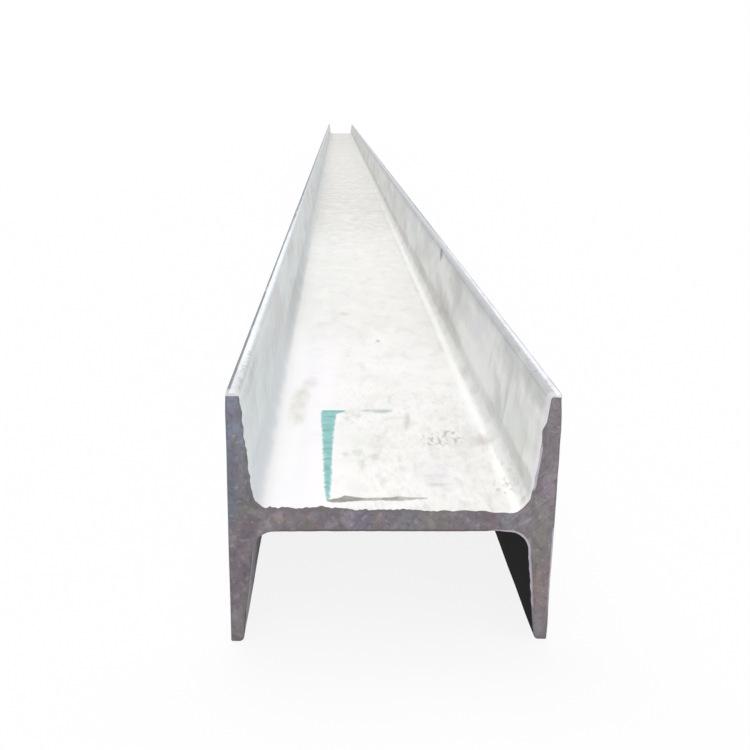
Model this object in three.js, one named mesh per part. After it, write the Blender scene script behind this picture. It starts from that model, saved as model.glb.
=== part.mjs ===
// A hot-rolled steel I-beam with tapered flanges: one rolled piece, sawn to a stock length.
// It lies on the toes of both flanges with its web level. Lengths are in millimetres.
// +X runs across the depth of the section, +Y along the beam and +Z up. The origin is on
// the floor, under the middle of the beam.
import * as THREE from 'three';

// Driving dimensions
const beamLength = 6000;
const sectionDepth = 150; // over the outer faces of the two flanges
const flangeWidth = 122; // from toe to toe
const webThickness = 9.5;
const flangeThickness = 9.2; // measured midway between the web's middle and a toe
const flangeTaperDegrees = 6; // between the inner and the outer face of a flange
const rootRadius = 10; // where a flange's inner face runs into the web
const toeRadius = 2.5; // on the inner corner of a toe

const rootSteps = 10; // chords in each rounded root
const toeSteps = 5; // chords in each rounded toe

const steel = new THREE.MeshStandardMaterial({ color: '#c9cccb', roughness: 0.5, metalness: 0.85 });

// The section is drawn with x across the depth and y up from the middle of the web.
// One quarter of it runs from the web, up the inner face of the right flange, to the
// outer corner of its upper toe.
function quarterOutline() {
  const taper = THREE.MathUtils.degToRad(flangeTaperDegrees);
  const outerFace = sectionDepth / 2;
  const toeHeight = flangeWidth / 2;
  const webFace = webThickness / 2;

  // The inner face is a straight line. It would meet the middle of the web at rootX, and
  // it leans outwards by the taper as it rises.
  const thicknessAtMiddle = flangeThickness + (toeHeight / 2) * Math.tan(taper);
  const rootX = outerFace - thicknessAtMiddle;

  // The root arc touches the web's face and the inner face from the open side.
  const rootY = webFace + rootRadius;
  const rootArcX = rootX + (rootY * Math.sin(taper) - rootRadius) / Math.cos(taper);
  const rootArc = new THREE.EllipseCurve(
    rootArcX, rootY, rootRadius, rootRadius, -Math.PI / 2, -taper, false);

  // The toe arc touches the inner face and the toe's flat from inside the steel.
  const toeY = toeHeight - toeRadius;
  const toeArcX = rootX + (toeY * Math.sin(taper) + toeRadius) / Math.cos(taper);
  const toeArc = new THREE.EllipseCurve(
    toeArcX, toeY, toeRadius, toeRadius, Math.PI - taper, Math.PI / 2, true);

  return [
    ...rootArc.getPoints(rootSteps),
    ...toeArc.getPoints(toeSteps),
    new THREE.Vector2(outerFace, toeHeight),
  ];
}

// The whole outline goes round counter-clockwise: the quarter and its three mirror images.
function sectionShape() {
  const quarter = quarterOutline();
  const mirrored = (alongX, alongY) =>
    quarter.map((point) => new THREE.Vector2(point.x * alongX, point.y * alongY));
  return new THREE.Shape([
    ...mirrored(1, 1).reverse(),
    ...mirrored(-1, 1),
    ...mirrored(-1, -1).reverse(),
    ...mirrored(1, -1),
  ]);
}

// The section is drawn out along the beam, centred on its length and stood on its toes.
function iBeam() {
  const geometry = new THREE.ExtrudeGeometry(sectionShape(), {
    depth: beamLength,
    bevelEnabled: false,
  });
  geometry.rotateX(Math.PI / 2);
  geometry.translate(0, beamLength / 2, flangeWidth / 2);
  const mesh = new THREE.Mesh(geometry, steel);
  mesh.name = 'i_beam';
  return mesh;
}

const group = new THREE.Group();
group.add(iBeam());

export default group;
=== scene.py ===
import math
import bpy
import numpy as np
from mathutils import Matrix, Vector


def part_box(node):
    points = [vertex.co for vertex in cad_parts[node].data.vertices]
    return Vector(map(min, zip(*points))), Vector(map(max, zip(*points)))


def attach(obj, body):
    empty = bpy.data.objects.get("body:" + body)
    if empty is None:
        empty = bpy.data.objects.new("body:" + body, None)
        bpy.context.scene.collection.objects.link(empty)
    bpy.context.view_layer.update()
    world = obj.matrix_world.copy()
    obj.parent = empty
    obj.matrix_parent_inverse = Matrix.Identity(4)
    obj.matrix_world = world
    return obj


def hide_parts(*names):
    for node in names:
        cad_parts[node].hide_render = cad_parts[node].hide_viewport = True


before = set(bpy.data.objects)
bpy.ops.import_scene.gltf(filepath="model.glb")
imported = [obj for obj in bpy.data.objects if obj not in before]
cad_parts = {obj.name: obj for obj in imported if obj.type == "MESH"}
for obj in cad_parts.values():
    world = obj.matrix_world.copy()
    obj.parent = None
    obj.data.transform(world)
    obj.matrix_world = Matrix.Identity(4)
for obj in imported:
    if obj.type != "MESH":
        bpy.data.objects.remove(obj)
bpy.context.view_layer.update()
lowCorner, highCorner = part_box("i_beam")
mm = 0.001
halfDepth, halfLength = highCorner.x / mm, highCorner.y / mm
halfWidth = (highCorner.z - lowCorner.z) / 2 / mm
hardFoldDegrees = 38         # folds sharper than this are shaded as edges
print("frame loaded")


# An sRGB hex colour as the linear one that Blender's sockets hold.
def linear(code):
    channels = [int(code[i:i + 2], 16) / 255 for i in (1, 3, 5)]
    return tuple(c / 12.92 if c <= 0.04045 else ((c + 0.055) / 1.055) ** 2.4 for c in channels) + (1.0,)


# Adds one node, sets it up, and links or fills the sockets that links names.
def addNode(tree, kind, links=None, **settings):
    node = tree.nodes.new(kind)
    for name, value in settings.items():
        setattr(node, name, value)
    for socket, value in (links or {}).items():
        if isinstance(value, bpy.types.NodeSocket):
            tree.links.new(value, node.inputs[socket])
        else:
            node.inputs[socket].default_value = value
    return node


# An empty material and its node tree.
def newMaterial(name):
    material = bpy.data.materials.new(name)
    material.use_nodes = True
    material.node_tree.nodes.clear()
    return material, material.node_tree


# The share of the way from start to end: (value - start) / (end - start), held within 0 to 1.
def rampUp(value, start, end):
    return np.clip((value - start) / (end - start), 0, 1)


# A sum of sine waves: each has its own direction, its phase and 0.6 to 1.7 times the wavelength
# asked for, and the whole is scaled to about -1 to 1. points holds x, y, z in its last axis.
def waveField(points, wavelength, seed, waves=14):
    rng = np.random.default_rng(seed)
    total = np.zeros(points.shape[:-1])
    for _ in range(waves):
        direction = rng.normal(size=3)
        direction /= np.linalg.norm(direction)
        length = wavelength * rng.uniform(0.6, 1.7)
        total += np.sin(points @ (direction * 2 * math.pi / length) + rng.uniform(0, 2 * math.pi))
    return total / math.sqrt(waves)


# A block of points, lattice[i, j, k], has six outer sheets. Together they are one closed
# skin, wound so that each faces away from the block. Slots are the finishes of the sides and
# top, of the two j sheets and of the lowest k sheet, and rim is a value kept at each point.
def blockPiece(name, lattice, materials, rim, slots=(0, 0, 0)):
    ids = np.arange(lattice[..., 0].size).reshape(lattice.shape[:3])
    sheets = [  # finish, points, flipped
        (slots[0], ids[:, :, -1], False), (slots[2], ids[:, :, 0], True),
        (slots[0], ids[-1], False), (slots[0], ids[0], True),
        (slots[1], ids[:, -1].T, False), (slots[1], ids[:, 0].T, True),
    ]
    quads, finishes = [], []
    for finish, sheet, flipped in sheets:
        corners = np.stack([sheet[:-1, :-1], sheet[1:, :-1], sheet[1:, 1:], sheet[:-1, 1:]], -1)
        quads.append(corners.reshape(-1, 4)[:, ::-1 if flipped else 1])
        finishes.append(np.full(len(quads[-1]), finish, np.int32))
    used, faces = np.unique(np.concatenate(quads), return_inverse=True)
    mesh = bpy.data.meshes.new(name)
    mesh.from_pydata(lattice.reshape(-1, 3)[used], [], faces.reshape(-1, 4))
    mesh.polygons.foreach_set("material_index", np.concatenate(finishes))
    for material in materials:
        mesh.materials.append(material)
    mesh.attributes.new("rim", "FLOAT", "POINT").data.foreach_set("value", rim.reshape(-1)[used])
    mesh.shade_smooth()
    mesh.set_sharp_from_angle(angle=math.radians(hardFoldDegrees))
    mesh.update()
    piece = bpy.data.objects.new(name, mesh)
    bpy.context.scene.collection.objects.link(piece)
    return piece


beam = {                     # lengths in mm
    "web": 9.5,
    "flange": 9.2,           # midway between the web's middle and a toe
    "taperDegrees": 6.0,
    "rootRadius": 10.0,
    "rootSteps": 12,
    "toeRadius": 2.5,
    "toeSteps": 5,
    "cornerRadius": 0.8,     # the worn outer corner of a toe
    "cornerSteps": 4,
    "webStep": 0.8,          # between points across the web
    "faceStep": 1.0,         # between points up a flange
    "endStep": 0.4,          # between stations at a sawn end
    "stepGrowth": 1.15,
    "longestStep": 100.0,
    "mostSteps": 200,        # more than half a beam needs
    "layers": 16,            # through the section, for the sawn faces
    "coatSwell": 0.07,       # height of the slow waves in the zinc
    "coatWavelength": 40.0,
    "coatSeed": 3,
    "burrLeft": 2.5,         # height of the torn lip along the top of the near end, by the
    "burrMiddle": 1.25,      # left root and in the middle; by the right root there is none
    "leftFade": (-16, 9),    # where the first height turns into the second, and how softly
    "rightFade": (36, 4),    # where the second dies away
    "lumps": (3.5, 11),      # wavelength and seed of the small waves in the lip
    "swells": (8.0, 12),     # and of the large ones
    "lumpShare": 0.2,        # the lip's height varies by this share of itself
    "swellHeight": 0.4,      # and by this much
    "webEdge": (13, 19),     # distances in from an outer face between which the web's lip starts
    "burrFlange": 0.35,      # how far the lip wavers up the flanges
    "flangeBias": 0.4,       # added to those waves, of -1 to 1, so that most of them stand out
    "toeWorn": 1.0,          # how much of the right toe's inner corner is worn off at the cut
    "wornAcross": (50, 60),  # from here to here across, and
    "wornUp": (44, 52),      # from here to here above the web's middle
    "burrBelow": 0.45,       # height of the lip below the right root and down that flange
    "belowLumps": 0.3,       # it varies by this share
    "belowAcross": (50, 58),
    "belowUp": (2, 6),       # it starts this high above the floor
    "burrReach": 1.3,        # how far the lip runs back from the cut
    "skinPower": 6,          # how fast it fades in from the skin
    "ragged": 0.3,           # how far the rim of a cut wanders along the beam
    "wander": (9.0, 21),     # wavelength and seed of that
    "sawn": 0.06,            # depth of the saw's marks
    "sawMarks": (5.0, 22),   # their wavelength and seed
    "sawStretch": 3,         # they are this many times closer in height than across
    "cutReach": 1.5,         # how far a cut's relief runs into the beam
}


# One quarter of the outline, in mm from the middle of the web: along the web, round the root
# arc, up the tapered inner face, round the toe arc, along the toe and round its worn corner.
# Each arc touches the straights beside it, and the left half mirrors the right one.
def sectionOutline(b):
    taper = math.radians(b["taperDegrees"])
    rootX = halfDepth - b["flange"] - halfWidth / 2 * math.tan(taper)

    def arc(x, z, radius, start, end, steps):
        turn = np.radians(np.linspace(start, end, steps + 1))
        return np.stack([x + radius * np.cos(turn), z + radius * np.sin(turn)], -1)

    def between(start, end, step):
        steps = max(2, round(float(np.hypot(*(end - start))) / step))
        return start + (end - start) * np.linspace(0, 1, steps + 1)[1:-1, None]

    def touching(z, radius):  # x of a circle that touches the inner face from the open side
        return rootX + (z * math.sin(taper) - radius) / math.cos(taper)

    rootRadius, toeRadius, corner = b["rootRadius"], b["toeRadius"], b["cornerRadius"]
    rootZ, toeZ = b["web"] / 2 + rootRadius, halfWidth - toeRadius
    root = arc(touching(rootZ, rootRadius), rootZ, rootRadius, -90, -b["taperDegrees"], b["rootSteps"])
    toe = arc(touching(toeZ, -toeRadius), toeZ, toeRadius, 180 - b["taperDegrees"], 90, b["toeSteps"])
    worn = arc(halfDepth - corner, halfWidth - corner, corner, 90, 0, b["cornerSteps"])
    middle = np.array([[0.0, b["web"] / 2]])
    quarter = np.concatenate([
        middle, between(middle[0], root[0], b["webStep"]), root,
        between(root[-1], toe[0], b["faceStep"]), toe,
        between(toe[-1], worn[0], b["faceStep"]), worn,
    ])
    return np.concatenate([quarter[:0:-1] * (-1, 1), quarter])


# Stations along the beam: the steps grow from each sawn end by a fixed ratio, up to the
# longest one, and meet in the middle.
def beamStations(b, length):
    steps = np.minimum(b["endStep"] * b["stepGrowth"] ** np.arange(b["mostSteps"]), b["longestStep"])
    reach = np.concatenate([[0.0], np.cumsum(steps)])
    half = reach[reach < length / 2 - b["longestStep"] / 2]
    return np.concatenate([half, [length / 2], length - half[::-1]]) - length / 2


# The beam is a block of points: i runs across the section, j along the beam and k from the
# lower outline to the upper one, a point being (x, y, through * height of the outline at x).
# The coat swells along the outline's normal by slow waves. The near end has a torn lip, which
# dies away by e to the power of (-distance from the cut / its reach). Each cut wanders a little
# and carries the saw's marks, which die away in the same way. The second result is each point's
# distance in mm from the skin, the least of those from the outline and from the outer faces.
def beamLattice(b):
    outline = sectionOutline(b)
    tangent = np.gradient(outline, axis=0)
    tangent /= np.linalg.norm(tangent, axis=1, keepdims=True)
    along = beamStations(b, 2 * halfLength)
    through = np.linspace(-1, 1, b["layers"] + 1)
    x, y, z = np.broadcast_arrays(
        outline[:, 0, None, None], along[:, None], outline[:, 1, None, None] * through)
    lattice = np.stack([x, y, z], -1)
    section = lattice * (1, 0, 1)
    fromNear, fromFar = y + halfLength, halfLength - y

    def leftOf(place, softness):  # 1 at the left of a place across, 0 at its right
        return 1 / (1 + np.exp((x - place) / softness))

    lumps, swells = waveField(section, *b["lumps"]), waveField(section, *b["swells"])
    lip = b["burrMiddle"] * leftOf(*b["rightFade"])
    lip = lip + (b["burrLeft"] - b["burrMiddle"]) * leftOf(*b["leftFade"])
    lip = lip * (1 + b["lumpShare"] * lumps) + b["swellHeight"] * swells
    worn = b["toeWorn"] * rampUp(x, *b["wornAcross"]) * rampUp(z, *b["wornUp"])
    waver = b["burrFlange"] * (b["flangeBias"] + np.where(x < 0, lumps, swells)) - worn
    onWeb = rampUp(halfDepth - np.abs(x), *b["webEdge"])
    above = (waver + (lip - waver) * onWeb) * np.clip(through, 0, 1) ** b["skinPower"]
    below = b["burrBelow"] * (1 + b["belowLumps"] * lumps) * rampUp(x, *b["belowAcross"])
    below = below * rampUp(z + halfWidth, *b["belowUp"]) * np.clip(-through, 0, 1) ** b["skinPower"]
    lip = (above + below) * np.exp(-fromNear / b["burrReach"])
    height = b["coatSwell"] * waveField(lattice, b["coatWavelength"], b["coatSeed"]) + lip
    lattice[..., 0] += height * -tangent[:, 1, None, None]
    lattice[..., 2] += height * tangent[:, 0, None, None] * through

    relief = np.exp(-fromNear / b["cutReach"]) - np.exp(-fromFar / b["cutReach"])
    wander = b["ragged"] * waveField(lattice * (1, 0, 1), *b["wander"])
    sawMarks = b["sawn"] * waveField(lattice * (1, 0, b["sawStretch"]), *b["sawMarks"])
    lattice[..., 1] += (np.clip(wander, 0, 1) + sawMarks) * relief
    lattice[..., 2] += halfWidth

    inside = np.stack([x[:, 0], np.abs(z[:, 0])], -1)[:, :, None]
    starts, steps = outline[:-1], np.diff(outline, axis=0)
    share = ((inside - starts) * steps).sum(-1) / (steps ** 2).sum(-1)
    nearest = starts + steps * np.clip(share, 0, 1)[..., None]
    fromOutline = np.linalg.norm(inside - nearest, axis=-1).min(-1)
    fromSkin = np.minimum(fromOutline, halfDepth - np.abs(x[:, 0]))
    return lattice * mm, np.broadcast_to(fromSkin[:, None], x.shape)


spotCore = 0.3               # share of a spot's reach within which it is full
plainDetail = 4.0            # octaves in a pattern's noise, unless it names its own
skinDetail = 3.0


# A finish is a bare look and a list of patterns laid over it. Places are in mm: across from
# the middle, along from the near end, and height above the floor. An area is a product of
# ramps, each of which reads one channel and goes from 0 to 1 between its two levels. A pattern
# is a noise times its area: it is absent below its lower level and full above its upper one,
# and there it turns the surface to its colour and adds its roughness and its rise in mm. Size
# is the grain of the noise, drawn is how many times longer the grain is along each axis, turn
# slants it and a low detail softens it. A spot, which a tilt turns, keeps a pattern near one
# place: it is full at its core and gone at its reach.
def layeredFinish(name, look, areas, patterns):
    material, tree = newMaterial(name)
    coordinates = addNode(tree, "ShaderNodeTexCoord")
    place = addNode(tree, "ShaderNodeMapping", {
        "Vector": coordinates.outputs["Object"], "Scale": (1 / mm,) * 3,
        "Location": (0, -lowCorner.y / mm, 0)}).outputs[0]
    parts = addNode(tree, "ShaderNodeSeparateXYZ", {0: place}).outputs
    facing = addNode(tree, "ShaderNodeSeparateXYZ", {0: coordinates.outputs["Normal"]}).outputs
    # side is how far a point is from the middle, lean how far its skin faces sideways, up how far
    # it faces up, and rim the distance that the piece keeps at each point
    channels = {
        "across": parts[0], "along": parts[1], "height": parts[2], "up": facing[2],
        "side": addNode(tree, "ShaderNodeMath", {0: parts[0]}, operation="ABSOLUTE").outputs[0],
        "lean": addNode(tree, "ShaderNodeMath", {0: facing[0]}, operation="ABSOLUTE").outputs[0],
        "rim": addNode(tree, "ShaderNodeAttribute", attribute_name="rim").outputs["Fac"],
    }

    # each pattern makes its own mask, since a shader can keep only so many values at once
    tone, roughness, rise = linear(look["tone"]), look["roughness"], 0.0
    for pattern in patterns:
        mask = 1.0
        for channel, start, end in areas[pattern["area"]]:
            ramp = addNode(tree, "ShaderNodeMapRange", {
                "Value": channels[channel], "From Min": start, "From Max": end},
                interpolation_type="SMOOTHSTEP")
            mask = addNode(tree, "ShaderNodeMath", {0: mask, 1: ramp.outputs[0]},
                           operation="MULTIPLY").outputs[0]
        if "spot" in pattern:
            local = addNode(tree, "ShaderNodeMapping", {
                "Vector": place, "Location": pattern["spot"], "Scale": pattern["reach"],
                "Rotation": [math.radians(a) for a in pattern.get("tilt", (0, 0, 0))]},
                vector_type="TEXTURE")
            reach = addNode(tree, "ShaderNodeVectorMath", {0: local.outputs[0]}, operation="LENGTH")
            inside = addNode(tree, "ShaderNodeMapRange", {
                "Value": reach.outputs["Value"], "From Min": 1.0, "From Max": spotCore})
            mask = addNode(tree, "ShaderNodeMath", {0: mask, 1: inside.outputs[0]},
                           operation="MULTIPLY").outputs[0]
        drawn = addNode(tree, "ShaderNodeMapping", {
            "Vector": place, "Scale": pattern.get("drawn", (1, 1, 1)),
            "Rotation": [math.radians(a) for a in pattern.get("turn", (0, 0, 0))]}, vector_type="TEXTURE")
        noise = addNode(tree, "ShaderNodeTexNoise", {
            "Vector": drawn.outputs[0], "Scale": 1 / pattern["size"],
            "Detail": pattern.get("detail", plainDetail)})
        level = addNode(tree, "ShaderNodeMath", {0: noise.outputs[0], 1: mask}, operation="MULTIPLY")
        amount = addNode(tree, "ShaderNodeMapRange", {
            "Value": level.outputs[0], "From Min": pattern["levels"][0], "From Max": pattern["levels"][1],
            "To Max": pattern["most"]}).outputs[0]
        tone = addNode(tree, "ShaderNodeMix", {0: amount, 6: tone, 7: linear(pattern["colour"])},
                       data_type="RGBA").outputs[2]
        if "rough" in pattern:
            roughness = addNode(tree, "ShaderNodeMath", {0: amount, 1: pattern["rough"], 2: roughness},
                                operation="MULTIPLY_ADD").outputs[0]
        if "rise" in pattern:
            rise = addNode(tree, "ShaderNodeMath", {0: amount, 1: pattern["rise"], 2: rise},
                           operation="MULTIPLY_ADD").outputs[0]

    skin = addNode(tree, "ShaderNodeTexNoise", {
        "Vector": place, "Scale": 1 / look["skinSize"], "Detail": skinDetail})
    rise = addNode(tree, "ShaderNodeMath", {0: skin.outputs[0], 1: look["skinRise"], 2: rise},
                   operation="MULTIPLY_ADD").outputs[0]
    bump = addNode(tree, "ShaderNodeBump", {"Strength": 1.0, "Distance": mm, "Height": rise})
    shader = addNode(tree, "ShaderNodeBsdfPrincipled", {
        "Base Color": tone, "Metallic": look["metallic"], "Roughness": roughness,
        "Specular IOR Level": look["specular"], "Normal": bump.outputs[0]})
    addNode(tree, "ShaderNodeOutputMaterial", {"Surface": shader.outputs["BSDF"]})
    return material


# A pattern is spread over its area, or is a stain that keeps to a spot of it.
def spread(area, colour, size, levels, most, **more):
    return {"area": area, "colour": colour, "size": size, "levels": levels, "most": most, **more}


def stain(area, spot, reach, colour, size, levels, most, **more):
    return spread(area, colour, size, levels, most, spot=spot, reach=reach, **more)


beamAreas = {
    "all": [],
    "web": [("up", 0.90, 0.99), ("side", 60, 54)],
    "midWebShade": [("up", 0.50, 0.90), ("along", 250, 420)],
    "nearWeb": [("up", 0.90, 0.99), ("side", 60, 54), ("along", 360, 160), ("across", -30, -12)],
    # painted light by the left root, where the flange shades the web
    "leftWebPaintedLight": [("up", 0.12, 0.50), ("across", -14, -40), ("along", 430, 210)],
    "leftRootPaintedLight": [("up", 0.40, 0.78), ("across", -42, -55), ("along", 500, 250)],
    "rightWeb": [("across", 10, 45), ("side", 66, 58), ("along", 300, 120), ("along", -10, 80)],
    "flange": [("lean", 0.50, 0.97)],
    "leftInside": [("lean", 0.60, 0.97), ("side", 74.6, 73), ("across", 0, -1)],
    "rightInside": [("lean", 0.60, 0.97), ("side", 74.6, 73), ("across", 0, 1)],
    "leftFootShade": [("lean", 0.30, 0.80), ("across", 0, -1), ("side", 74.6, 73), ("height", 90, 78)],
    "farLeftFootShade": [("lean", 0.30, 0.80), ("across", 0, -1), ("side", 74.6, 73), ("height", 92, 80),
                    ("along", 220, 380), ("along", 1100, 550)],
    "farLeftWebPaintedLight": [("up", 0.80, 0.95), ("across", -32, -54), ("along", 320, 430),
                   ("along", 1250, 700)],
    "rightFootShade": [("lean", 0.88, 0.99), ("across", 0, 1), ("side", 74.6, 73), ("height", 83, 77.5)],
    "farRightFootShade": [("lean", 0.88, 0.99), ("across", 0, 1), ("side", 74.6, 73), ("height", 87, 80),
                     ("along", 230, 300), ("along", 1600, 500)],
    "outside": [("side", 73.6, 74.6)],
    "outerFoot": [("side", 73.6, 74.6), ("height", 22, 2)],
    "openWeb": [("up", 0.90, 0.99), ("along", 500, 900)],
    "underToeShade": [("lean", 0.60, 0.97), ("across", 0, 1), ("side", 74.6, 73), ("height", 106, 120)],
    "toeArcShade": [("side", 72.5, 71.0), ("across", 0, 1), ("height", 118.0, 119.5)],
    "rightRoot": [("across", 58, 60.5), ("side", 68, 65), ("height", 82, 76)],
    "nearLineHighlight": [("across", 56.0, 57.4), ("side", 59.9, 58.3), ("along", 320, 240)],
    "farLineHighlight": [("across", 56.0, 58.2), ("side", 61.8, 59.4), ("along", 240, 320), ("along", 1700, 700)],
    "nearRoot": [("across", 57.6, 59.4), ("side", 70, 66), ("height", 86, 78), ("along", 190, 80)],
    "besideLineHighlight": [("across", 44, 55), ("side", 62, 59.8), ("along", 100, 135), ("along", 260, 190)],
    "leftOfLine": [("across", 51, 54.5), ("side", 57.5, 55.5), ("along", 240, 320)],
    "nearInside": [("lean", 0.60, 0.97), ("across", 0, 1), ("side", 74.6, 73), ("along", 320, 140)],
    # painted shade: the beam greys with distance from the near end
    "far": [("up", 0.5, 0.9), ("along", 800, 1400)],
    "fartherShade": [("up", 0.5, 0.9), ("along", 2400, 5600)],
    "farSidesShade": [("lean", 0.5, 0.9), ("along", 1200, 3200)],
    "leftToeFlat": [("height", 119.6, 121.4), ("across", 0, -1)],
    "rightToeFlat": [("height", 120.8, 121.6), ("across", 0, 1)],
    "leftToe": [("height", 120.6, 121.8), ("across", -68.6, -71.6)],
    "rightToe": [("height", 120.6, 121.8), ("across", 71.2, 73.2)],
    "farLeftToeShade": [("height", 121.0, 121.8), ("across", 0, -1), ("along", 350, 1200)],
    "farRightToeShade": [("height", 121.0, 121.8), ("across", 0, 1), ("along", 150, 700)],
    "leftCorner": [("across", -72.9, -73.9), ("height", 120.6, 121.4)],
    "farLeftCorner": [("across", -71.2, -72.6), ("height", 120.6, 121.4), ("along", 300, 900)],
    "rightCorner": [("across", 73.9, 74.5), ("height", 120.4, 121.4)],
    "farRightCorner": [("across", 72.6, 73.6), ("height", 120.6, 121.6), ("along", 250, 900)],
    "lip": [("along", 4.5, 0.0), ("across", 56, -48), ("height", 58, 62), ("height", 78, 72)],
    "skirt": [("along", 12, 1), ("height", 64, 70)],
    "rightSkirt": [("along", 8, 4), ("across", 0, 1), ("height", 77, 81), ("height", 101, 97)],
}
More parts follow.
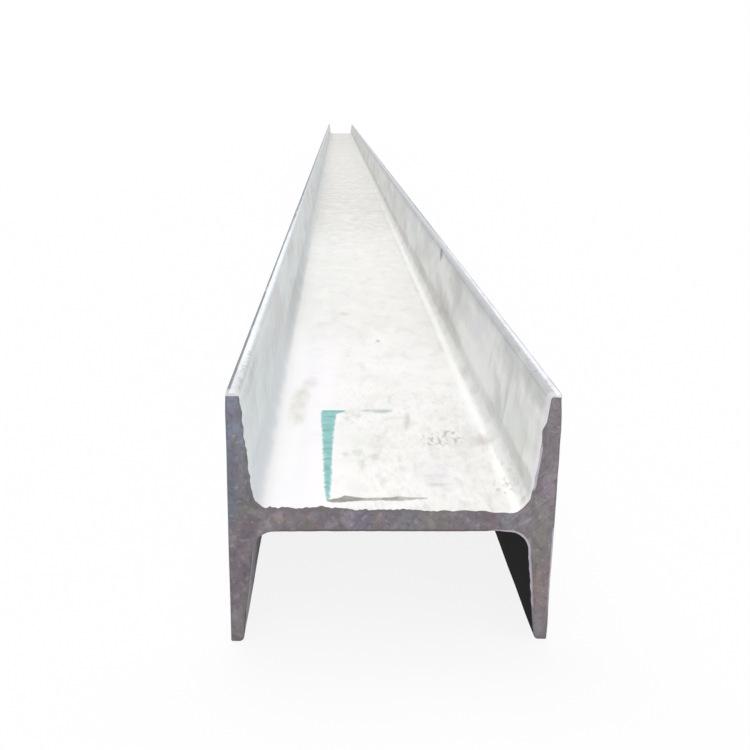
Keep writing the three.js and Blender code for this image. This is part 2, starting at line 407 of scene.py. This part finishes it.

# Dull hot-dip zinc: pale and matt, clouded in patches, with faint pits and specks, grey dirt in the right
# root, soft runs on the flanges and bare dark steel along the lip of the near cut. Over it lies painted
# light: painted shade that greys it with distance and darkens the flanges' feet, the right root and the
# toes, a painted cool tint on the left flange, painted light by the left root and a painted highlight
# along the right root. Its own grain, below 0.5 mm, is too fine to show, so it is drawn at 1.7 to 3 mm.
zincLook = {"tone": "#f2f1ef", "metallic": 0.2, "roughness": 0.5, "specular": 0.5,
            "skinSize": 2.5, "skinRise": 0.05}
zincPatterns = [
    # broad tones, with painted shade that makes the beam greyer with distance from the near end, and the
    # coat's clouds, pits and specks
    spread("midWebShade", "#e7e6e3", 90, (0.0, 0.4), 0.8),
    spread("far", "#d0cec9", 90, (0.0, 0.45), 0.9),
    spread("fartherShade", "#bfbeba", 90, (0.0, 0.45), 0.9),
    spread("flange", "#eeeeec", 90, (0.0, 0.4), 0.9),
    spread("farSidesShade", "#c9c9c4", 90, (0.0, 0.7), 0.6),
    spread("all", "#e3e2df", 60, (0.42, 0.70), 0.5, rough=0.06),
    spread("all", "#f6f5f2", 16, (0.48, 0.70), 0.5, drawn=(1, 2, 1), rough=-0.08),
    spread("all", "#d3d1cc", 3, (0.56, 0.74), 0.3, drawn=(1, 3, 1), rise=-0.04),
    spread("all", "#e4e3e1", 24, (0.48, 0.72), 0.4, drawn=(1, 2, 1.4), rise=-0.1),
    spread("all", "#fafaf9", 1.7, (0.60, 0.74), 0.4, drawn=(1, 1.3, 1), detail=1, rise=0.12),
    # the web: streaks along the rolling, painted light that makes it paler by the left root, and dirtier
    # by the right one
    spread("web", "#d4d2cd", 11, (0.52, 0.72), 0.4, drawn=(1, 2.5, 1), detail=3),
    spread("nearWeb", "#d2d0ca", 2.6, (0.46, 0.72), 0.34, drawn=(1, 3.2, 1), rise=-0.03),
    spread("nearWeb", "#c0beb8", 5.5, (0.56, 0.74), 0.38, drawn=(1, 3, 1), detail=3),
    spread("leftWebPaintedLight", "#f6f3f6", 14, (0.0, 0.42), 0.85),
    spread("leftRootPaintedLight", "#fdfbfc", 30, (0.0, 0.38), 0.95),
    spread("rightWeb", "#e4e2de", 8, (0.4, 0.66), 0.22, drawn=(1, 3, 1), detail=3, rise=-0.03),
    spread("rightWeb", "#b1afa8", 3.2, (0.54, 0.74), 0.28, drawn=(1, 3.2, 1), detail=2.5, rise=-0.02),
    spread("nearRoot", "#a3a29c", 2.8, (0.43, 0.66), 0.45, drawn=(1, 2.6, 1.4), detail=1.5, rise=-0.05),
    spread("nearRoot", "#f7f7f5", 2.6, (0.47, 0.64), 0.8, drawn=(1, 2.6, 1.4), detail=1.5),
    spread("farLeftWebPaintedLight", "#fbfbfa", 40, (0.0, 0.5), 0.4),
    # the flanges' inner faces: a painted cool tint of sky light on the left one, long clouds, and upright
    # streaks near the cut
    spread("leftInside", "#ebf0f4", 90, (0.0, 0.4), 0.9),
    spread("leftInside", "#d3cccd", 34, (0.50, 0.66), 0.7, drawn=(1, 5, 1), detail=2),
    spread("leftInside", "#dadee3", 11, (0.44, 0.66), 0.5, drawn=(1, 9, 1), detail=2),
    spread("leftInside", "#e6f5ed", 12, (0.48, 0.70), 0.7, drawn=(1, 3, 6), detail=1.5),
    stain("leftInside", (-66, 90, 101), (20, 130, 26), "#cfd8da", 14, (0.15, 0.55), 0.55, drawn=(1, 4, 1),
          detail=2),
    stain("leftInside", (-66, 210, 95), (20, 170, 26), "#d2d5d7", 14, (0.15, 0.55), 0.38, drawn=(1, 4, 1),
          detail=2),
    stain("leftInside", (-66, 150, 99), (30, 300, 50), "#bcc6c9", 6.5, (0.42, 0.66), 0.3,
          drawn=(1, 1.4, 3.5), turn=(-10, 0, 0), detail=3),
    stain("leftInside", (-66, 110, 99), (30, 240, 50), "#f4faf8", 7.5, (0.42, 0.66), 0.34,
          drawn=(1, 1.4, 3.5), turn=(8, 0, 0), detail=3),
    stain("leftInside", (-66, 55, 115), (20, 90, 7), "#b5b3af", 5, (0.2, 0.6), 0.5, drawn=(1, 2, 1),
          detail=3),
    spread("rightInside", "#ceccca", 38, (0.44, 0.68), 0.75, drawn=(1, 3.4, 1), detail=2),
    spread("rightInside", "#dbd9e2", 28, (0.52, 0.66), 0.6, drawn=(1, 3.0, 1), detail=2.5),
    spread("rightInside", "#d5ddd2", 26, (0.52, 0.68), 0.6, drawn=(1, 3.0, 1), detail=2.5),
    spread("nearInside", "#c4c6c2", 9, (0.46, 0.70), 0.36, drawn=(1, 1, 3), turn=(12, 0, 0), detail=3),
    spread("nearInside", "#fafbf8", 11, (0.46, 0.70), 0.36, drawn=(1, 1, 2.6), turn=(-14, 0, 0), detail=3),
    # the outer faces and the far web: clouds, handling scratches and dirt at the foot
    spread("outside", "#dad9d5", 48, (0.44, 0.66), 0.55, drawn=(1, 2.2, 1), rough=0.05),
    spread("outside", "#fafaf9", 9, (0.44, 0.74), 0.55, drawn=(1, 1.2, 4), detail=5, rise=0.05),
    spread("outside", "#c9c8c4", 14, (0.50, 0.78), 0.5, drawn=(1, 1.3, 3), turn=(8, 0, 0), detail=5,
           rough=0.05),
    spread("outside", "#b3b2af", 0.8, (0.64, 0.80), 0.5, drawn=(1, 90, 1), turn=(0.6, 0, 0), detail=1,
           rise=-0.05),
    spread("outerFoot", "#b5b2ab", 10, (0.25, 0.62), 0.6, drawn=(1, 2, 1), rough=0.1),
    spread("openWeb", "#bfbdb8", 0.8, (0.63, 0.78), 0.4, drawn=(1, 70, 1), turn=(0, 0, 1.2), detail=1,
           rise=-0.04),
    spread("openWeb", "#c8c6c1", 13, (0.52, 0.72), 0.4, drawn=(1, 2, 1), rough=0.06),
    # the roots and the feet of the inner faces: painted shade along the feet and under the right toe, and
    # grey dirt with painted shade in the right root
    spread("leftFootShade", "#d8dde2", 30, (0.1, 0.5), 0.6),
    spread("farLeftFootShade", "#bbbdbe", 26, (0.15, 0.6), 0.55, drawn=(1, 3, 1), detail=2),
    spread("rightFootShade", "#bdbcb8", 24, (0.15, 0.6), 0.75, drawn=(1, 2, 1), detail=2),
    spread("farRightFootShade", "#c1bfbb", 24, (0.15, 0.6), 0.7, drawn=(1, 2, 1), detail=2),
    stain("rightInside", (66, 200, 85), (20, 80, 15), "#f4f5f2", 14, (0.0, 0.52), 0.75, drawn=(1, 2, 1),
          detail=2),
    spread("underToeShade", "#b8bdc0", 30, (0.25, 0.68), 0.75, drawn=(1, 3, 1), detail=2),
    # grey dirt, with painted shade, in the right root
    spread("rightRoot", "#dfdedb", 8, (0.2, 0.6), 0.6, drawn=(1, 2, 1), rough=0.1),
    spread("rightRoot", "#b3b1ac", 12, (0.50, 0.76), 0.4, drawn=(1, 2, 1), detail=2.5, rise=-0.06),
    stain("rightInside", (66, 102, 112), (20, 56, 13), "#b0b3b2", 14, (0.1, 0.6), 0.55, drawn=(1, 2, 1),
          detail=2.5),
    stain("rightInside", (66, 84, 88), (20, 60, 15), "#f0f5f0", 12, (0.05, 0.6), 0.5, drawn=(1, 2, 1),
          detail=2.5),
    stain("rightInside", (66, 28, 115), (20, 60, 9), "#a9aea4", 9, (0.15, 0.6), 0.5, drawn=(1, 1.5, 1),
          detail=2.5),
    stain("rightInside", (66, 26, 99), (20, 30, 8), "#f2f5f2", 8, (0.1, 0.55), 0.45, drawn=(1, 1.5, 1),
          detail=2.5),
    stain("rightRoot", (61, 92, 68), (8, 55, 12), "#f4f3f1", 10, (0.1, 0.5), 0.75, detail=3),
    # a painted highlight: the bright line where the web meets the right root, and a softer one beside it
    spread("besideLineHighlight", "#f4f4f5", 7, (0.25, 0.60), 0.8, drawn=(1, 2, 1), detail=3),
    spread("leftOfLine", "#c6c4be", 9, (0.3, 0.7), 0.5, drawn=(1, 4, 1), detail=3),
    spread("nearLineHighlight", "#f7f6f3", 10, (0.15, 0.60), 0.9, drawn=(1, 4, 1), rise=0.05),
    spread("farLineHighlight", "#f5f4f1", 10, (0.15, 0.65), 0.9, drawn=(1, 4, 1), rise=0.05),
    # the toes: painted shade on the right toe's arc, on the inner halves of the flats and, further along,
    # on the whole flats; pale outer halves specked near the cut, and their dark outer corners
    spread("toeArcShade", "#b6bab9", 9, (0.1, 0.55), 0.9, drawn=(1, 3, 1), detail=3),
    # painted shade over the toes' flats; the next two keep their outer halves pale
    spread("leftToeFlat", "#cdd1d6", 12, (0.0, 0.4), 0.9, drawn=(1, 3, 1)),
    spread("rightToeFlat", "#b3b5b8", 12, (0.0, 0.4), 0.9, drawn=(1, 3, 1)),
    spread("leftToe", "#ebf0f3", 6, (0.1, 0.50), 1.0, drawn=(1, 3, 1), rise=0.05),
    spread("rightToe", "#eef0fa", 9, (0.05, 0.50), 1.0, drawn=(1, 3, 1), rise=0.1),
    stain("rightToeFlat", (72.8, 60, 122), (3, 340, 6), "#f4f4f9", 3.4, (0.40, 0.64), 0.7,
          drawn=(1, 1.5, 1), detail=2.5, rise=0.05),
    stain("rightToeFlat", (70.6, 60, 121), (2.4, 340, 6), "#77777a", 2.8, (0.54, 0.70), 0.55,
          drawn=(1, 1.5, 1), detail=2.5),
    stain("leftToe", (-71, 12, 122), (8, 70, 5), "#cfcfd6", 12, (0.1, 0.5), 0.7, detail=2),
    stain("leftToeFlat", (-70.2, 40, 121), (4, 150, 6), "#8d8c89", 2.8, (0.46, 0.66), 0.5,
          drawn=(1, 1.5, 1), detail=2.5),
    spread("farLeftToeShade", "#bfc3c9", 12, (0.0, 0.5), 0.9),
    spread("farRightToeShade", "#bec1c7", 12, (0.0, 0.5), 0.9),
    spread("leftCorner", "#686b73", 7, (0.08, 0.42), 0.95, drawn=(1, 3, 1)),
    spread("farLeftCorner", "#767a82", 12, (0.10, 0.48), 0.9, drawn=(1, 4, 1)),
    spread("rightCorner", "#878890", 7, (0.10, 0.45), 0.9, drawn=(1, 3, 1)),
    spread("farRightCorner", "#666974", 12, (0.10, 0.48), 0.9, drawn=(1, 4, 1)),
    # the first millimetres behind the cut, and the bare lip
    spread("skirt", "#eeedf2", 6, (0.15, 0.5), 0.7),
    spread("rightSkirt", "#ece8f4", 6, (0.1, 0.5), 0.5),
    spread("lip", "#6a6268", 2.2, (0.22, 0.28), 1.0, rough=0.1),
    # a rubbed brown stain and a lilac one by the left root
    stain("web", (-48.8, 166, 66), (9.5, 74, 9), "#c9c4b0", 6, (0.16, 0.62), 0.55, tilt=(0, 0, -1.5),
          drawn=(1, 3, 1), detail=3),
    stain("web", (-42.5, 215, 66), (7, 20, 9), "#dcd7e2", 9, (0.1, 0.6), 0.6, detail=2),
    # a grey cloud and a short dark dab on the middle of the web
    stain("web", (-17, 143, 66), (12, 26, 9), "#bab9b3", 5, (0.3, 0.65), 0.45, drawn=(1, 2, 1), detail=3),
    stain("web", (15.8, 134, 66), (2.9, 25, 9), "#a9a8a2", 7, (0.1, 0.6), 0.6, tilt=(0, 0, -4),
          drawn=(1, 4, 1), detail=1.5),
    # a line of pits, and the grey rubbed patch beside it
    stain("web", (32.4, 101, 66), (38, 24, 9), "#8b8983", 2.2, (0.45, 0.74), 0.58, tilt=(0, 0, 52),
          drawn=(1, 2.8, 1), detail=0.0, rise=-0.05),
    stain("all", (55.5, 98, 67), (10, 14, 9), "#c9c7c1", 5, (0.08, 0.58), 0.7, drawn=(1, 2, 1), detail=3),
    stain("all", (49, 95, 66), (9, 9, 9), "#d3d1cc", 4, (0.2, 0.7), 0.2, drawn=(1, 2, 1), detail=3),
    stain("all", (55.4, 103, 66), (1.7, 17, 9), "#ccb8b2", 5, (0.1, 0.6), 0.4, drawn=(1, 2, 1)),
    # a few small pits near the cut by the right root
    stain("all", (55.5, 31, 67), (15, 28, 9), "#a3a19b", 2.1, (0.47, 0.70), 0.5, drawn=(1, 2.6, 1.4),
          detail=1, rise=-0.03),
    stain("web", (-12, 73, 66), (30, 28, 9), "#bfbdb7", 4.5, (0.46, 0.66), 0.45, drawn=(1, 1.8, 1),
          detail=1.5),
    # two faint scratches in a lilac cast
    stain("web", (24.5, 46, 66), (12, 30, 9), "#e6e2ea", 9, (0.0, 0.5), 0.28),
    stain("web", (24, 45.1, 66), (10, 5, 9), "#d9d6da", 5, (0.15, 0.6), 0.6, drawn=(3, 1, 1), detail=2),
    stain("web", (24, 33.1, 66), (10, 4.2, 9), "#c4c2c5", 5, (0.15, 0.6), 0.6, drawn=(3, 1, 1), detail=2),
    stain("web", (7, 333, 66), (3.4, 9, 9), "#b1afa9", 4, (0.15, 0.5), 0.6),
    stain("web", (-19, 435, 66), (9, 14, 9), "#c6c4be", 4, (0.2, 0.6), 0.6),
    # on the right flange, two pairs of runs that meet at its foot, and a dark drip by the toe
    stain("rightInside", (65, 116, 89), (30, 40, 11), "#b3b3b1", 12, (0.12, 0.6), 0.5, tilt=(22, 0, 0),
          detail=2.5),
    stain("rightInside", (65, 89, 99), (30, 26, 8), "#b3b4b0", 12, (0.12, 0.6), 0.5, tilt=(-79, 0, 0),
          detail=2.5),
    stain("rightInside", (65, 322, 102), (30, 48, 18), "#b4b2ab", 16, (0.12, 0.7), 0.4, tilt=(-39, 0, 0),
          drawn=(1, 2, 1), detail=2.5),
    stain("rightInside", (65, 345, 110), (30, 80, 17), "#b3b4aa", 12, (0.2, 0.7), 0.6, drawn=(1, 2, 1),
          detail=3),
    stain("rightInside", (65, 400, 86), (30, 120, 14), "#b4b1ae", 20, (0.12, 0.6), 0.6, tilt=(5, 0, 0),
          detail=2),
    stain("rightInside", (65, 458, 118.5), (20, 17, 10.5), "#66796f", 14, (0.1, 0.45), 0.8, detail=2),
]

# Sawn steel: bare, dark and mauve grey, blotched by stale coolant, bluer up the left flange, with
# slanting scratches on the right shoulder and a painted highlight along the rim by the right root. The
# saw's grain, well below 1 mm, is too fine to show, so it is drawn at 2 mm.
sawnLook = {"tone": "#888187", "metallic": 0.35, "roughness": 0.5, "specular": 0.5,
            "skinSize": 1.6, "skinRise": 0.15}
sawnAreas = {
    "all": [],
    "left": [("across", -58, -66), ("height", 50, 90)],
    "leftTop": [("across", -58, -66), ("height", 86, 104)],
    "leftLow": [("across", -50, -62), ("height", 64, 50), ("height", 6, 20)],
    "leftEdge": [("across", -73.2, -74.4), ("height", 30, 80)],
    "right": [("across", 50, 66)],
    "shoulder": [("across", 36, 56), ("height", 54, 60), ("height", 96, 84)],
    "rim": [("rim", 1.0, 0.3)],
    "lowerRootHighlight": [("rim", 1.1, 0.4), ("across", 40, 50), ("height", 60, 56), ("height", 4, 30)],
    "upperRightHighlight": [("rim", 1.3, 0.6), ("across", 40, 60), ("across", 71, 70), ("height", 72, 80),
                   ("height", 104, 96)],
    "toeLip": [("height", 120.4, 121.4), ("side", 68, 69)],
    "underWeb": [("rim", 1.3, 0.5), ("height", 61, 58), ("side", 56, 50)],
}
sawnPatterns = [
    spread("all", "#766d75", 15, (0.42, 0.60), 0.85, rough=0.05),
    spread("all", "#9e989d", 7, (0.50, 0.68), 0.7, rough=-0.1),
    spread("all", "#8d6f77", 11, (0.54, 0.66), 0.6),
    spread("all", "#7e7d68", 8, (0.55, 0.68), 0.7),
    stain("all", (45, 0, 61), (16, 20, 9), "#6d656c", 8, (0.15, 0.6), 0.42),
    spread("left", "#777b8a", 12, (0.2, 0.6), 0.7),
    spread("leftLow", "#6b626b", 9, (0.3, 0.6), 0.6),
    spread("leftTop", "#8e95a6", 10, (0.2, 0.6), 0.85),
    spread("leftEdge", "#6e7f95", 9, (0.1, 0.5), 0.7),
    spread("right", "#918a8c", 12, (0.15, 0.6), 0.6),
    # stains that follow the face from the left toe, over the web, to the right foot
    stain("all", (-73, 0, 73), (5, 20, 22), "#6c7580", 9, (0.05, 0.5), 0.8),
    stain("all", (-66.5, 0, 84), (3.5, 20, 24), "#818a88", 6, (0.1, 0.5), 0.6),
    stain("all", (-52, 0, 64), (5, 20, 5), "#a79699", 4, (0.1, 0.5), 0.7),
    stain("all", (-20, 0, 63), (6, 20, 6), "#aaa0ab", 4, (0.1, 0.5), 0.7),
    stain("all", (-14, 0, 61), (8, 20, 7), "#7f7894", 5, (0.1, 0.5), 0.6),
    stain("all", (7, 0, 61), (16, 20, 9), "#81858c", 5, (0.1, 0.6), 0.7),
    stain("all", (19, 0, 62), (12, 20, 8), "#8e8c83", 5, (0.1, 0.6), 0.7),
    stain("all", (57, 0, 61), (12, 20, 10), "#93959d", 5, (0.1, 0.6), 0.7),
    stain("all", (68.5, 0, 52), (6, 20, 30), "#8b8a82", 7, (0.1, 0.5), 0.8, drawn=(1, 1, 2)),
    stain("all", (69.5, 0, 27), (6, 20, 16), "#9b8a88", 6, (0.1, 0.5), 0.85, drawn=(1, 1, 2)),
    stain("all", (70, 0, 8), (7, 20, 13), "#938d93", 6, (0.1, 0.5), 0.8),
    stain("all", (70, 0, 77), (6, 20, 9), "#a18fa0", 4, (0.1, 0.5), 0.7),
    # mottle, dark and pale specks, and the scratches
    spread("all", "#71686f", 4, (0.46, 0.64), 0.4, drawn=(1, 1, 1.8), detail=2, rise=-0.05),
    spread("all", "#574c56", 2.1, (0.54, 0.74), 0.45, detail=1.5, rise=-0.12),
    spread("all", "#b6b1b6", 2.4, (0.57, 0.76), 0.45, detail=1.5, rise=0.05),
    spread("shoulder", "#b5aeb6", 1.1, (0.52, 0.68), 0.4, drawn=(12, 1, 1), turn=(0, -42, 0), rise=-0.08),
    spread("shoulder", "#5a525a", 1.0, (0.54, 0.68), 0.34, drawn=(12, 1, 1), turn=(0, -42, 0)),
    spread("rim", "#7d767e", 3, (0.3, 0.6), 0.8),
    spread("underWeb", "#5d555c", 4, (0.1, 0.4), 0.7),
    # painted highlight along the rim by the right root
    spread("lowerRootHighlight", "#c9c3cc", 5, (0.15, 0.45), 0.85),
    spread("upperRightHighlight", "#c9c5cc", 5, (0.2, 0.4), 0.9),
    spread("toeLip", "#e6e6ea", 4, (0.1, 0.3), 0.95),
]

# The lower trough has no shine left, and it carries painted shade: by the near cut its right side is
# nearly black and it is darker along the root under the web, its left side there is paler, and further in
# it is a mottled grey of grime and painted shade.
troughShadeAndGrimeLook = {"tone": "#110c12", "metallic": 0.0, "roughness": 0.85, "specular": 0.1,
             "skinSize": 2.5, "skinRise": 0.08}
troughShadeAndGrimeAreas = {
    "all": [],
    "further": [("along", 180, 520)],
    "left": [("across", 20, -20), ("along", 520, 180)],
    "root": [("height", 44, 56)],
}
troughShadeAndGrimePatterns = [
    spread("all", "#1a141a", 16, (0.45, 0.65), 0.8),
    spread("further", "#8b8886", 60, (0.0, 0.4), 1.0),
    spread("further", "#acaaa6", 26, (0.46, 0.66), 0.7, drawn=(1, 2, 1)),
    spread("further", "#625e58", 8, (0.52, 0.70), 0.6, drawn=(1, 3, 1)),
    spread("root", "#4a424a", 8, (0.3, 0.6), 0.7),
    spread("left", "#d2cdd2", 20, (0.1, 0.4), 0.9),
]


zinc = layeredFinish("dull galvanised zinc", zincLook, beamAreas, zincPatterns)
sawnSteel = layeredFinish("sawn steel", sawnLook, sawnAreas, sawnPatterns)
shadedGrimyZinc = layeredFinish("zinc with painted shade and grime", troughShadeAndGrimeLook, troughShadeAndGrimeAreas, troughShadeAndGrimePatterns)
beamPoints, rimDistance = beamLattice(beam)
beamPiece = blockPiece("rolled_beam", beamPoints, [zinc, sawnSteel, shadedGrimyZinc], rimDistance, (0, 1, 2))
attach(beamPiece, "root")
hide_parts("i_beam")
print("beam made:", len(beamPiece.data.polygons), "faces")


# Each stroke is given by rows of (how far it has run, one edge, the other edge) in mm. The
# strokes that run along the beam have y, x, x and those that run across it have x, y, y.
marks = {
    "film": 0.06,            # height above the coat
    "sunk": 0.15,            # how far its underside lies in the coat
    "step": 0.5,             # between points along a stroke
    "pointsAcross": 9,
    "raggedEdge": 0.25,
    "raggedWavelength": 4.0,
    "edgeSeeds": (31, 32),
    "tealStroke": [
        (14.5, -30.3, -29.3), (16.7, -30.8, -28.9), (26.6, -31.3, -28.5), (39.5, -31.9, -28.1),
        (53, -32.3, -28.0), (71, -32.8, -28.0), (91, -33.3, -27.6), (113, -33.9, -27.1),
        (134, -35.1, -26.2), (146, -35.2, -25.6), (148, -35.1, -23.0), (150, -35.1, -20.8),
        (153, -34.6, -20.5),
    ],
    "tealDash": [
        (-13.0, 152.0, 153.6), (-8, 150.4, 155.4), (-2, 147.8, 156.6), (4, 147.0, 156.8),
        (8.4, 150.6, 155.4),
    ],
    "darkStroke": [
        (-30.2, 12.4, 13.8), (-28, 11.6, 15.6), (-25, 11.4, 16.4), (-22, 11.6, 19.6), (-19, 12.4, 19.0),
        (-16, 13.4, 17.4), (-12, 13.6, 16.8), (-6, 13.8, 17.0), (0, 13.6, 17.4), (4, 13.2, 18.6),
        (7, 14.0, 18.2), (11, 15.0, 17.6), (17.5, 16.0, 16.8),
    ],
}


# A stroke is a strip between its two edges, u across it and v along it. Its top stands on the
# swell of the coat by the film's height, its underside lies sunk in it, and its edges waver.
def paintStroke(name, rows, alongBeam, m, b, material):
    run, *sides = np.array(rows).T
    v = np.linspace(run[0], run[-1], round((run[-1] - run[0]) / m["step"]))
    flat = np.stack([v, 0 * v, 0 * v], -1)
    low, high = [np.interp(v, run, side) + m["raggedEdge"] * waveField(flat, m["raggedWavelength"], seed)
                 for side, seed in zip(sides, m["edgeSeeds"])]
    u = np.linspace(0, 1, m["pointsAcross"])[::1 if alongBeam else -1, None]
    across = low + (high - low) * u
    along = np.broadcast_to(v, across.shape)
    x, y = (across, along) if alongBeam else (along, across)
    points = np.stack([x, y - halfLength, np.full(x.shape, b["web"] / 2)], -1)
    swell = b["coatSwell"] * waveField(points, b["coatWavelength"], b["coatSeed"])
    lattice = np.repeat(points[:, :, None], 2, axis=2)
    lattice[..., 2] += halfWidth + swell[:, :, None] + (-m["sunk"], m["film"])
    fromEdge = np.minimum(u, 1 - u) * (high - low)
    piece = blockPiece(name, lattice * mm, [material], np.repeat(fromEdge[:, :, None], 2, axis=2))
    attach(piece, "root")


# Marking paint: thin, matt and brushed on, so it has bands across the stroke where the brush
# stopped, and it is thinner in patches where the zinc greys it.
paintLook = {"tone": "#8fc9c7", "metallic": 0.0, "roughness": 0.55, "specular": 0.4,
             "skinSize": 1.2, "skinRise": 0.04}
paintAreas = {"all": [], "edge": [("rim", 1.6, 0.2)]}
paintPatterns = [
    spread("all", "#74b2af", 6, (0.46, 0.62), 0.9, drawn=(4, 1, 1)),
    spread("all", "#b4dcdb", 5, (0.56, 0.72), 0.5),
    spread("edge", "#c9e6e3", 3, (0.2, 0.6), 0.8),
]

# the same, rubbed nearly away
washLook = {"tone": "#b9cbc4", "metallic": 0.0, "roughness": 0.55, "specular": 0.4,
            "skinSize": 1.2, "skinRise": 0.04}
washAreas = {"all": [], "edge": [("rim", 4.4, 0.4)]}
washPatterns = [
    spread("all", "#cdd6cf", 4, (0.45, 0.65), 0.8),
    spread("edge", "#eaeeea", 4, (0.1, 0.5), 0.9),
]

# a dark stroke of it, worn to the zinc in two places
darkLook = {"tone": "#8f8f86", "metallic": 0.0, "roughness": 0.55, "specular": 0.4,
            "skinSize": 1.2, "skinRise": 0.04}
darkAreas = {
    "all": [], "edge": [("rim", 1.6, 0.2)], "worn": [("across", -15, -11), ("across", -2.5, -6)],
    "end": [("across", 1, 7)],
}
darkPatterns = [
    spread("all", "#b4b3ab", 5, (0.46, 0.64), 0.8, drawn=(2, 1, 1)),
    spread("all", "#6f6e60", 4, (0.55, 0.7), 0.7),
    spread("worn", "#cfcec8", 3, (0.1, 0.6), 0.75),
    spread("end", "#cdcbc5", 3, (0.1, 0.6), 0.75),
    spread("edge", "#c9c8c2", 3, (0.2, 0.6), 0.7),
]

tealPaint = layeredFinish("teal marking paint", paintLook, paintAreas, paintPatterns)
tealWash = layeredFinish("worn teal marking paint", washLook, washAreas, washPatterns)
darkPaint = layeredFinish("dark marking paint", darkLook, darkAreas, darkPatterns)
paintStroke("teal_paint_stroke", marks["tealStroke"], True, marks, beam, tealPaint)
paintStroke("teal_paint_dash", marks["tealDash"], False, marks, beam, tealWash)
paintStroke("dark_paint_stroke", marks["darkStroke"], False, marks, beam, darkPaint)
print("paint made")


stage = {                    # lengths in m
    "floorSize": 80.0,
    "floorColour": "#fafafa",
    "lightColour": "#ffffff",
    "floorGlow": 0.87,       # share of the floor's white that its own light gives, near the beam
    "clear": (0.5, 1.6),     # from here to here off its axis or past its ends the share rises to 1
    "sky": 0.80,             # its strength as a light; it is plain white where it is seen
    "sun": 0.85,
    "sunSpreadDegrees": 40.0,
    "sunTurn": (-35.0, -10.0, 0.0),
}


# 1 for the rays that see a thing, straight or in a gloss or glass, and 0 for those that only
# gather its light: the greatest of the three kinds' flags.
def seenDirectly(tree):
    rays = addNode(tree, "ShaderNodeLightPath").outputs
    seen = rays["Is Camera Ray"]
    for kind in ("Is Glossy Ray", "Is Transmission Ray"):
        seen = addNode(tree, "ShaderNodeMath", {0: seen, 1: rays[kind]}, operation="MAXIMUM").outputs[0]
    return seen


# A pale floor that keeps the beam's shadow near it and is plain white further off: where it is
# seen, its own light's share rises with the greater of the distances off the axis and past an end.
def paleFloor(s):
    material, tree = newMaterial("pale floor")
    place = addNode(tree, "ShaderNodeTexCoord").outputs["Object"]
    axis = addNode(tree, "ShaderNodeVectorMath", {0: place}, operation="ABSOLUTE")
    off = addNode(tree, "ShaderNodeSeparateXYZ", {0: axis.outputs[0]}).outputs
    past = addNode(tree, "ShaderNodeMath", {0: off[1], 1: highCorner.y}, operation="SUBTRACT")
    furthest = addNode(tree, "ShaderNodeMath", {0: off[0], 1: past.outputs[0]}, operation="MAXIMUM")
    share = addNode(tree, "ShaderNodeMapRange", {
        "Value": furthest.outputs[0], "From Min": s["clear"][0], "From Max": s["clear"][1],
        "To Min": s["floorGlow"]}, interpolation_type="SMOOTHSTEP")
    share = addNode(tree, "ShaderNodeMath", {0: seenDirectly(tree), 1: share.outputs[0]},
                    operation="MULTIPLY")
    matt = addNode(tree, "ShaderNodeBsdfDiffuse", {"Color": linear(s["floorColour"])})
    glow = addNode(tree, "ShaderNodeEmission", {"Color": linear(s["lightColour"]), "Strength": 1.0})
    mixed = addNode(tree, "ShaderNodeMixShader",
                    {0: share.outputs[0], 1: matt.outputs[0], 2: glow.outputs[0]})
    addNode(tree, "ShaderNodeOutputMaterial", {"Surface": mixed.outputs[0]})
    return material


# The floor, a white sky and one soft sun.
def makeStage(s):
    half = s["floorSize"] / 2
    corners = [(-half, -half, 0), (half, -half, 0), (half, half, 0), (-half, half, 0)]
    mesh = bpy.data.meshes.new("floor")
    mesh.from_pydata(corners, [], [(0, 1, 2, 3)])
    mesh.materials.append(paleFloor(s))
    floor = bpy.data.objects.new("floor", mesh)
    bpy.context.scene.collection.objects.link(floor)

    world = bpy.data.worlds.new("studio")
    bpy.context.scene.world = world
    world.use_nodes = True
    tree = world.node_tree
    tree.nodes.clear()
    strength = addNode(tree, "ShaderNodeMapRange", {
        "Value": seenDirectly(tree), "To Min": s["sky"], "To Max": 1.0})
    sky = addNode(tree, "ShaderNodeBackground", {
        "Color": linear(s["lightColour"]), "Strength": strength.outputs[0]})
    addNode(tree, "ShaderNodeOutputWorld", {"Surface": sky.outputs[0]})

    lamp = bpy.data.lights.new("sun", "SUN")
    lamp.energy = s["sun"]
    lamp.angle = math.radians(s["sunSpreadDegrees"])
    sun = bpy.data.objects.new("sun", lamp)
    sun.rotation_euler = [math.radians(a) for a in s["sunTurn"]]
    bpy.context.scene.collection.objects.link(sun)


camera = {                   # place in mm from the middle of the beam's near end, at the floor
    "right": -26.6,
    "back": 409.6,
    "up": 245.0,
    "yawDegrees": 2.44,      # the view turns to the right
    "pitchDegrees": 15.56,   # and down
    "rollDegrees": 0.96,
    "focalPixels": 969.9,    # for an image 750 wide
    "imageWidth": 750,
    "sensor": 36.0,
    "nearest": 10.0,         # nothing closer than this is drawn
}


# The camera looks along +Y, turned by its yaw, then down by its pitch, then rolled.
def makeCamera(c):
    data = bpy.data.cameras.new("camera")
    data.sensor_width = c["sensor"]
    data.lens = c["focalPixels"] / c["imageWidth"] * c["sensor"]
    data.clip_start = c["nearest"] * mm
    eye = bpy.data.objects.new("camera", data)
    bpy.context.scene.collection.objects.link(eye)
    turn = (Matrix.Rotation(-math.radians(c["yawDegrees"]), 3, "Z")
            @ Matrix.Rotation(math.radians(90 - c["pitchDegrees"]), 3, "X")
            @ Matrix.Rotation(math.radians(c["rollDegrees"]), 3, "Z"))
    eye.rotation_euler = turn.to_euler()
    eye.location = (c["right"] * mm, lowCorner.y - c["back"] * mm, c["up"] * mm)
    bpy.context.scene.camera = eye


makeStage(stage)
makeCamera(camera)
bpy.context.scene.view_settings.view_transform = "Standard"
print("stage made")
